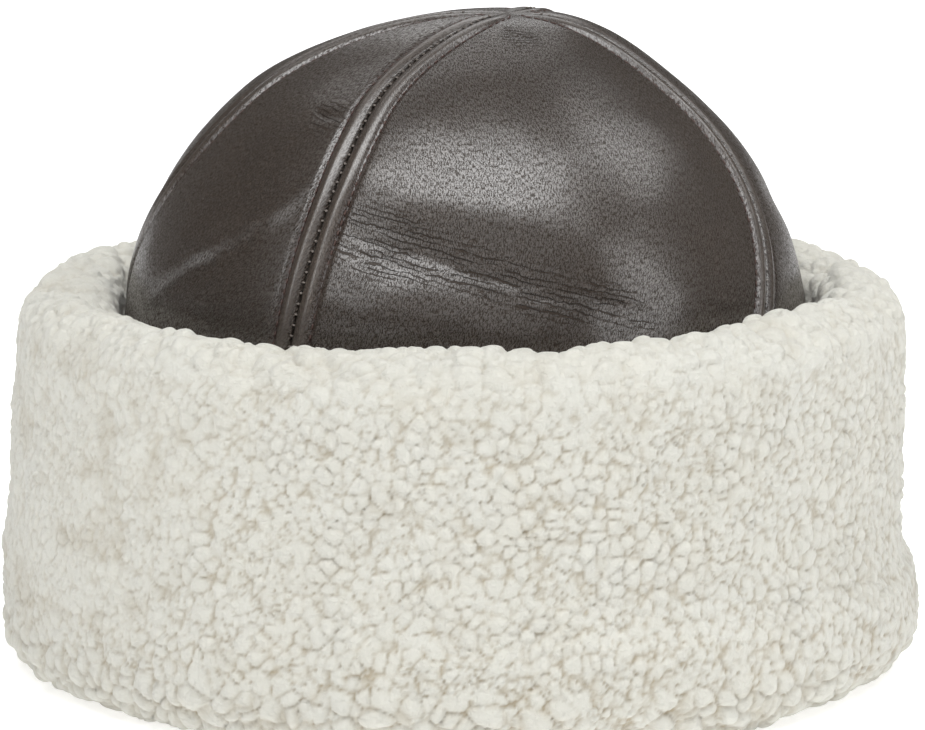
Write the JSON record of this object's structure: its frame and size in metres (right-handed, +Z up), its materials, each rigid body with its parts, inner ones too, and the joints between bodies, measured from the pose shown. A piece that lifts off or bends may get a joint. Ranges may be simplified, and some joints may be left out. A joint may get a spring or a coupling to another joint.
{
  "type": "shearling hat",
  "caption": "Round shearling hat: a dark leather dome crown of sewn gores with wool inside, and a tall turned-up fleece cuff.",
  "frame": {"origin": "bottom centre of the hat, on the surface it stands on", "axes": "+Z up through the crown, -Y towards the front, +X to the right of a viewer in front"},
  "size_m": [0.27, 0.2684, 0.1898],
  "materials": {
    "crown_leather": "dark brown nappa-finished skin, soft sheen, fine grain",
    "fleece": "matte off-white curled wool"
  },
  "bodies": {
    "root": {"crown_panel_front": "crown_leather", "crown_panel_right": "crown_leather", "crown_panel_back": "crown_leather", "crown_panel_left": "crown_leather", "crown_pile": "fleece", "cuff": "fleece"}
  },
  "joints": []
}
